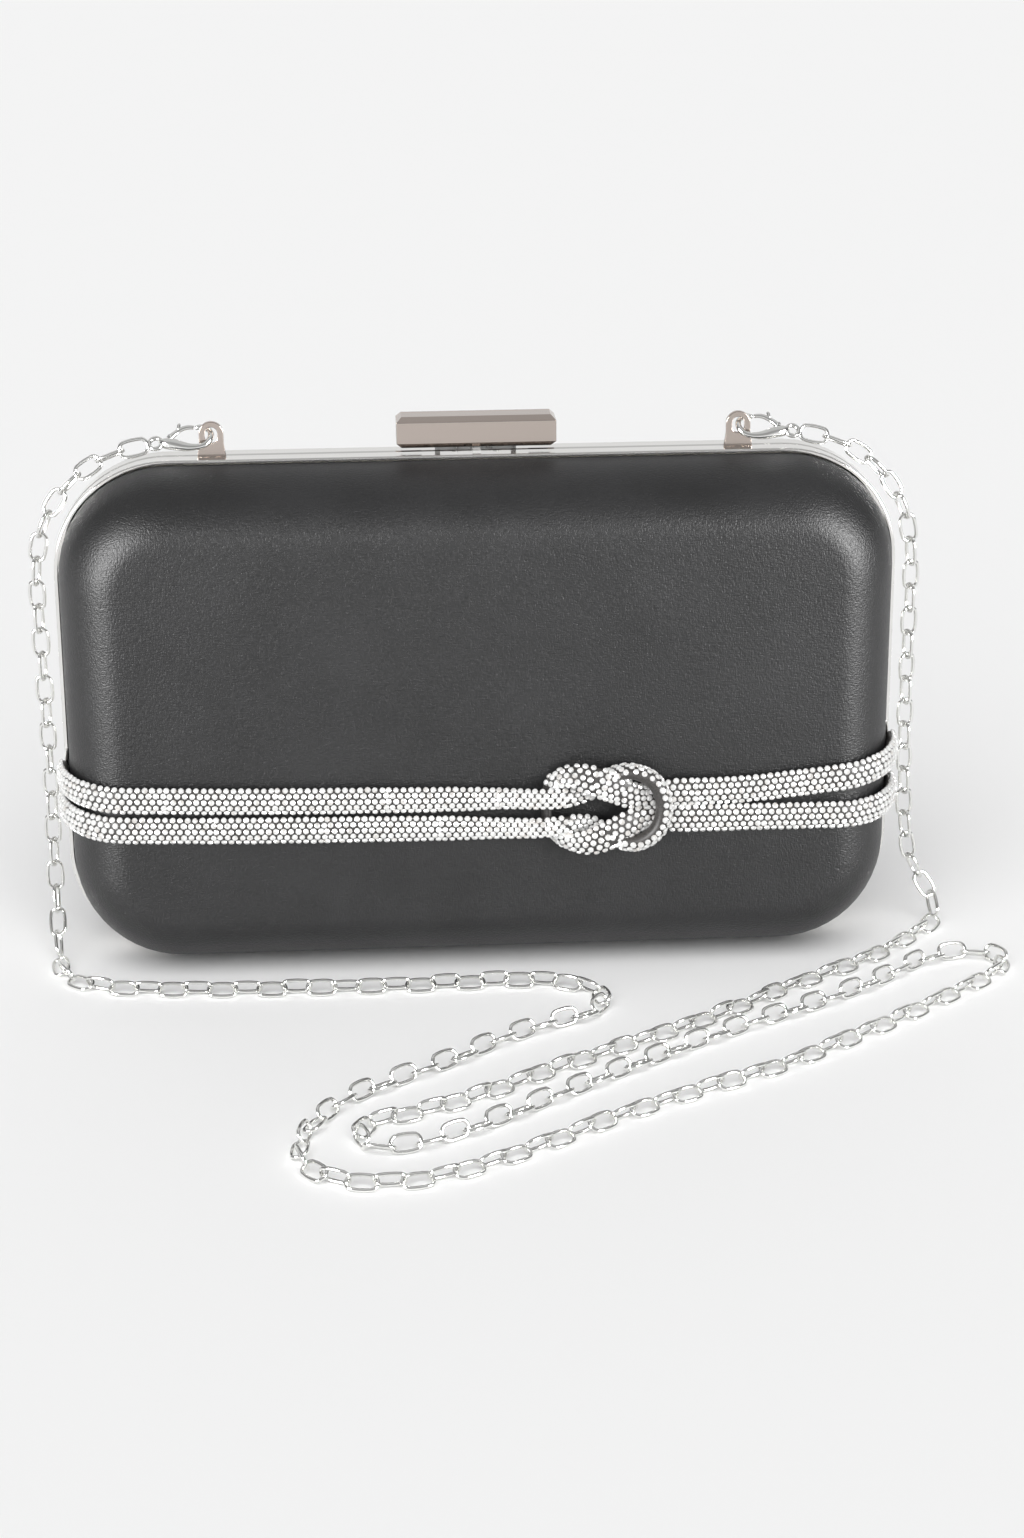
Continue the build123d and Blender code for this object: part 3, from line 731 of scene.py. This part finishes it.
CLAW_TILT = 45.0  # degrees about its own length
CLAW_SLOPE = 8.0  # degrees below level
CLAW_LENGTH = 15.5  # from the lug's hole to the far side of the eye
LUG_X = 63.5
LUG_Y = 2.2
LUG_HOLE_Z = BAG_HEIGHT + 5.3


def claw_frame(side):
    """Origin, along, across and normal directions of a claw, as in the CAD source."""
    slope = math.radians(CLAW_SLOPE)
    tilt = math.radians(CLAW_TILT)
    along = Vector((side * math.cos(slope), 0, -math.sin(slope)))
    normal = along.cross(Vector((0, math.cos(tilt), math.sin(tilt)))).normalized()
    return Vector((side * LUG_X, LUG_Y, LUG_HOLE_Z)), along, normal.cross(along), normal


def claw_point(side, x, y):
    """A place in the claw's plane, given along the claw and up its back."""
    origin, along, up, _ = claw_frame(side)
    return origin + along * x + up * y


# The chain's route between its two ends, as in the CAD source
CHAIN_BETWEEN = [
    (-85.6, 2.2, 129.2), (-95.8, 2.3, 123.9), (-103.8, 2.5, 114.2), (-107.3, 2.7, 103.0),
    (-107.1, 2.9, 85.0), (-106.5, 2.4, 53.0), (-106.9, 1.6, 24.0), (-106.6, -1.0, 10.0),
    (-106.2, -8.0, 3.6), (-105.0, -16.5, 2.5), (-100.0, -23.8, 2.5), (-90.5, -27.6, 2.5),
    (-75.0, -29.6, 2.5), (-56.0, -30.8, 2.5), (-36.0, -31.2, 2.5), (-16.0, -31.0, 2.5),
    (1.0, -30.0, 2.5), (13.0, -30.2, 2.5), (22.0, -33.2, 2.5), (27.8, -39.5, 2.5),
    (27.5, -47.0, 2.5), (20.5, -52.2, 2.5), (10.0, -57.5, 2.5), (-1.0, -65.5, 2.5),
    (-12.5, -75.5, 2.5), (-24.5, -83.8, 2.5), (-34.0, -91.0, 2.5), (-41.5, -101.0, 2.5),
    (-46.0, -112.0, 2.5), (-46.2, -122.5, 2.5), (-40.5, -130.5, 2.5), (-31.0, -133.6, 2.5),
    (-20.0, -132.8, 2.5), (-8.0, -127.4, 2.5), (5.0, -119.5, 2.5), (19.0, -109.6, 2.5),
    (36.0, -98.0, 2.5), (56.0, -88.0, 2.5), (76.0, -74.8, 2.5), (95.0, -60.2, 2.5),
    (111.0, -46.4, 2.5), (122.5, -37.0, 2.5), (129.2, -29.5, 2.5), (128.0, -22.8, 2.5),
    (120.0, -20.2, 2.5), (110.5, -23.0, 2.5), (101.0, -31.6, 2.5), (88.0, -42.8, 2.5),
    (69.0, -54.2, 2.5), (49.0, -66.8, 2.5), (29.0, -81.0, 2.5), (12.0, -94.2, 2.5),
    (-2.0, -105.0, 2.5), (-14.0, -113.0, 2.5), (-24.0, -117.4, 2.5), (-31.5, -116.4, 2.5),
    (-34.0, -110.2, 2.5), (-30.5, -104.2, 2.5), (-22.5, -101.2, 2.5), (-12.0, -97.0, 2.5),
    (1.0, -88.6, 2.5), (18.0, -76.4, 2.5), (38.0, -64.6, 2.5), (58.5, -50.4, 2.5),
    (75.5, -36.4, 2.5), (90.0, -27.2, 2.5), (101.0, -18.0, 2.5), (109.5, -8.4, 2.5),
    (116.5, -1.8, 2.5), (117.4, 3.6, 5.6), (113.2, 5.0, 11.2), (109.2, 4.4, 20.0),
    (107.9, 3.8, 36.0), (107.3, 3.3, 64.0), (107.5, 3.0, 89.0), (107.2, 2.7, 103.0),
    (103.8, 2.5, 114.2), (95.8, 2.3, 123.9), (85.6, 2.2, 129.2),
]
LINK_LENGTH = 7.9
LINK_WIDTH = 4.8
LINK_WIRE = 0.9
LINK_PITCH = 6.05
LINK_REACH = 3.0  # a link lies along the chord of the route this far each way
LYING_BELOW = 3.75  # height of a link's middle under which it lies on the floor
LYING_ROLL, HANGING_ROLL = 28, 18  # degrees out of the plane that faces up, or the front
ROLL_SPREAD = 9  # degrees
FLOOR_GAP = 0.15
END_LINKS = 3
EYE_GAP = 0.3  # between the claw's eye and the route's end
ROUTE_STEP = 0.5


def route_points():
    """Points read along the smooth curve of the chain's route, in millimetres."""
    start, end = (claw_point(side, CLAW_LENGTH + EYE_GAP, 0) for side in (-1, 1))
    route = [tuple(start)] + CHAIN_BETWEEN + [tuple(end)]
    curve = bpy.data.curves.new("chain_route", "CURVE")
    curve.dimensions = "3D"
    curve.resolution_u = 24
    run = curve.splines.new("NURBS")
    run.points.add(len(route) - 1)
    for point, (x, y, z) in zip(run.points, route):
        point.co = (x * MM, y * MM, z * MM, 1)
    run.order_u = 3
    run.use_endpoint_u = True
    holder = bpy.data.objects.new("chain_route", curve)
    mesh = bpy.data.meshes.new_from_object(holder)
    points = np.array([v.co[:] for v in mesh.vertices]) / MM
    bpy.data.objects.remove(holder)
    bpy.data.meshes.remove(mesh)
    return resample(points, ROUTE_STEP)


def link_parts(centre, along, up):
    """One oval link: a round wire swept round a stadium shape."""
    wide = (LINK_WIDTH - LINK_WIRE) / 2
    long = (LINK_LENGTH - LINK_WIRE) / 2
    straight = long - wide
    squareness = 2.2
    side = up.cross(along)
    rings, around = 28, 8
    points = []
    for k in range(rings):
        a = 2 * math.pi * k / rings
        stretch = math.copysign(straight, math.cos(a)) * min(1.0, abs(math.cos(a)) * squareness)
        cx = math.cos(a) * wide + stretch
        cy = math.sin(a) * wide
        out = along * math.cos(a) + side * math.sin(a)
        middle = centre + along * cx + side * cy
        for j in range(around):
            b = 2 * math.pi * j / around
            points.append(middle + out * (math.cos(b) * LINK_WIRE / 2) + up * (math.sin(b) * LINK_WIRE / 2))
    return points, tube_faces(rings, around, looped=True)


def link_places(path):
    """Each link's middle, direction and plane normal along the route."""
    along = np.concatenate([[0], np.cumsum(np.linalg.norm(np.diff(path, axis=0), axis=1))])
    count = int(along[-1] / LINK_PITCH)
    pitch = along[-1] / count
    places = []
    for k in range(count):
        s = (k + 0.5) * pitch
        back, ahead = (
            np.array([np.interp(s + reach, along, path[:, c]) for c in range(3)])
            for reach in (-LINK_REACH, LINK_REACH)
        )
        middle = Vector((back + ahead) / 2)
        direction = Vector(ahead - back).normalized()
        lying = middle.z <= LYING_BELOW
        facing = Vector((0, 0, 1)) if lying else Vector((0, -1, 0))
        base = facing - direction * facing.dot(direction)
        base.normalize()
        quarter = 90 if k % 2 else 0
        roll = LYING_ROLL if lying else HANGING_ROLL
        turn = math.radians(roll + random.uniform(-ROLL_SPREAD, ROLL_SPREAD) + quarter)
        normal = base * math.cos(turn) + direction.cross(base) * math.sin(turn)
        if lying:
            lean = math.sqrt(max(0.0, 1 - normal.z**2))
            middle.z = (LINK_WIDTH - LINK_WIRE) / 2 * lean + LINK_WIRE / 2 + FLOOR_GAP
        places.append((middle, direction, normal))
    return places


def make_chain(materials):
    """The link chain, with its first and last links made as pieces of their own between the claws and the
    bag.
    """
    path = route_points()
    places = link_places(path)
    groups = {
        "left_end_links": places[:END_LINKS],
        "link_chain": places[END_LINKS:-END_LINKS],
        "right_end_links": places[-END_LINKS:],
    }
    made = {}
    for name, members in groups.items():
        links = join_parts([link_parts(*place) for place in members])
        body = "front_half" if name == "link_chain" else None
        made[name] = add_piece(name, *links, materials["chain_metal"], body, "chain_metal")
    for side_name, side in (("left", -1), ("right", 1)):
        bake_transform(made[f"{side_name}_end_links"])
    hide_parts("chain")


# ---------------------------------------------------------------- claws, lugs and clasp


# Rows of the hook and of the gate: along the claw, up its back, radius
HOOK_ROWS = [
    (3.5, 2.6, 0.50), (2.6, 2.65, 0.64), (1.3, 2.35, 0.70), (0.35, 1.45, 0.73), (0.0, 0.1, 0.73),
    (0.5, -1.3, 0.73), (1.7, -2.35, 0.73), (3.2, -2.7, 0.75), (5.0, -2.55, 0.90), (6.8, -2.05, 1.12),
    (8.4, -1.35, 1.32), (10.0, -0.7, 1.40), (11.4, -0.25, 1.25), (12.2, -0.05, 0.85), (12.6, 0.0, 0.5),
]
GATE_ROWS = [
    (3.95, 2.8, 0.50), (4.9, 3.05, 0.56), (6.3, 3.0, 0.60), (7.8, 2.4, 0.62), (9.2, 1.5, 0.72),
    (10.2, 0.8, 0.75),
]
GATE_TAB_ROWS = [(7.6, 2.7, 0.5), (7.5, 3.5, 0.42), (7.3, 4.2, 0.45), (7.25, 4.45, 0.25)]
EYE_X = 13.45  # middle of the eye, along the claw
EYE_RADIUS = 1.5
EYE_WIRE = 0.55
BAR_STEP = 0.35  # between two rings of a hook or gate


def bar_along(side, rows, flatten):
    """A rounded bar through rows given in the claw's plane, flattened out of the plane."""
    path = spline([(x, y, 0, r) for x, y, r in rows], BAR_STEP)
    around = 14
    _, along, up, normal = claw_frame(side)
    points = []
    for k, (x, y, _, radius) in enumerate(path):
        before, after = path[max(k - 1, 0)], path[min(k + 1, len(path) - 1)]
        tangent = (along * (after[0] - before[0]) + up * (after[1] - before[1])).normalized()
        across = normal.cross(tangent)
        middle = claw_point(side, x, y)
        for j in range(around):
            a = 2 * math.pi * j / around
            rise = radius * flatten * math.sin(a)
            points.append(middle + across * (radius * math.cos(a)) + normal * rise)
    return points, tube_faces(len(path), around)


def claw_eye(side):
    """The plain ring in the claw's plane that the chain's first link passes through."""
    _, along, up, normal = claw_frame(side)
    middle = claw_point(side, EYE_X, 0)
    rings, around = 28, 10
    points = []
    for k in range(rings):
        a = 2 * math.pi * k / rings
        out = along * math.cos(a) + up * math.sin(a)
        for j in range(around):
            b = 2 * math.pi * j / around
            reach = EYE_RADIUS + EYE_WIRE * math.cos(b)
            points.append(middle + out * reach + normal * (EYE_WIRE * math.sin(b)))
    return points, tube_faces(rings, around, looped=True)


def make_claws(materials):
    """Both lobster claws: a swelling hook with its eye, and the sprung gate."""
    finish = materials["chain_metal"]
    for name, side in (("left", -1), ("right", 1)):
        hook_parts = join_parts([bar_along(side, HOOK_ROWS, flatten=0.95), claw_eye(side)])
        hook = add_piece(f"{name}_claw_hook", *hook_parts, finish, f"{name}_claw_body", "chain_metal")
        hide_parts(f"{name}_claw")
        gate_bars = [bar_along(side, GATE_ROWS, flatten=0.8), bar_along(side, GATE_TAB_ROWS, flatten=1.1)]
        gate_parts = join_parts(gate_bars)
        gate = add_piece(f"{name}_claw_gate", *gate_parts, finish, f"{name}_trigger_lever", "chain_metal")
        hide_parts(f"{name}_trigger")


LUG_HALF = 2.95
LUG_TOP = 8.6
LUG_FLARE = [(2.95, 3.2), (3.15, 1.9), (3.45, 0.0)]  # half width and height, down to the foot
LUG_THICKNESS = 1.3
LUG_BEVEL = 0.16
SLOT_HALF = 1.5
SLOT_LOW, SLOT_HIGH = 4.85, 5.75  # heights of the slot's two round ends


def half_turn(height, radius, start, steps):
    """Half a circle about the lug's centre line, from the angle start."""
    angles = np.linspace(start, start + math.pi, steps + 1)
    return [(radius * math.cos(a), height + radius * math.sin(a)) for a in angles]


def make_lugs(materials):
    """Arched lugs with a flared foot, a slot and softened edges."""
    outer = [(-x, z) for x, z in LUG_FLARE] + LUG_FLARE[::-1]
    outer += half_turn(LUG_TOP - LUG_HALF, LUG_HALF, 0, 24)
    slot = half_turn(SLOT_HIGH, SLOT_HALF, 0, 16) + half_turn(SLOT_LOW, SLOT_HALF, math.pi, 16)
    upright = Matrix.Rotation(math.pi / 2, 4, "X")
    for side_name, side in (("left", -1), ("right", 1)):
        curve = bpy.data.curves.new("lug_outline", "CURVE")
        curve.dimensions = "2D"
        curve.fill_mode = "BOTH"
        for loop in (outer, slot):
            run = curve.splines.new("POLY")
            run.points.add(len(loop) - 1)
            run.use_cyclic_u = True
            for point, (x, z) in zip(run.points, loop):
                point.co = (x * MM, z * MM, 0, 1)
        curve.offset = -LUG_BEVEL * MM
        curve.bevel_depth = LUG_BEVEL * MM
        curve.bevel_resolution = 3
        curve.extrude = (LUG_THICKNESS / 2 - LUG_BEVEL) * MM
        holder = bpy.data.objects.new("lug_outline", curve)
        mesh = bpy.data.meshes.new_from_object(holder)
        mesh.name = f"{side_name}_lug"
        bpy.data.objects.remove(holder)
        mesh.transform(Matrix.Translation((side * LUG_X * MM, LUG_Y * MM, BAG_HEIGHT * MM)) @ upright)
        mesh.materials.clear()
        mesh.materials.append(materials["clasp_metal"])
        piece = bpy.data.objects.new(f"{side_name}_arched_lug", mesh)
        bpy.context.scene.collection.objects.link(piece)
        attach(piece, "front_half")
        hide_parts(f"{side_name}_chain_lug")


def finish_cad_nodes(materials):
    """Better materials on the CAD nodes that stay in view."""
    slots = {row["node"]: row["material_slot"] for row in frame["record"]["subparts"]}
    for name, node in frame["nodes"].items():
        node.data.materials.clear()
        node.data.materials.append(materials[slots[name]])


bpy.context.scene.view_settings.view_transform = "Standard"
make_camera()
make_world()
make_stage()
MATERIALS = make_materials()
make_chain(MATERIALS)
make_halves(MATERIALS)
make_straps(MATERIALS)
make_claws(MATERIALS)
make_lugs(MATERIALS)
finish_cad_nodes(MATERIALS)
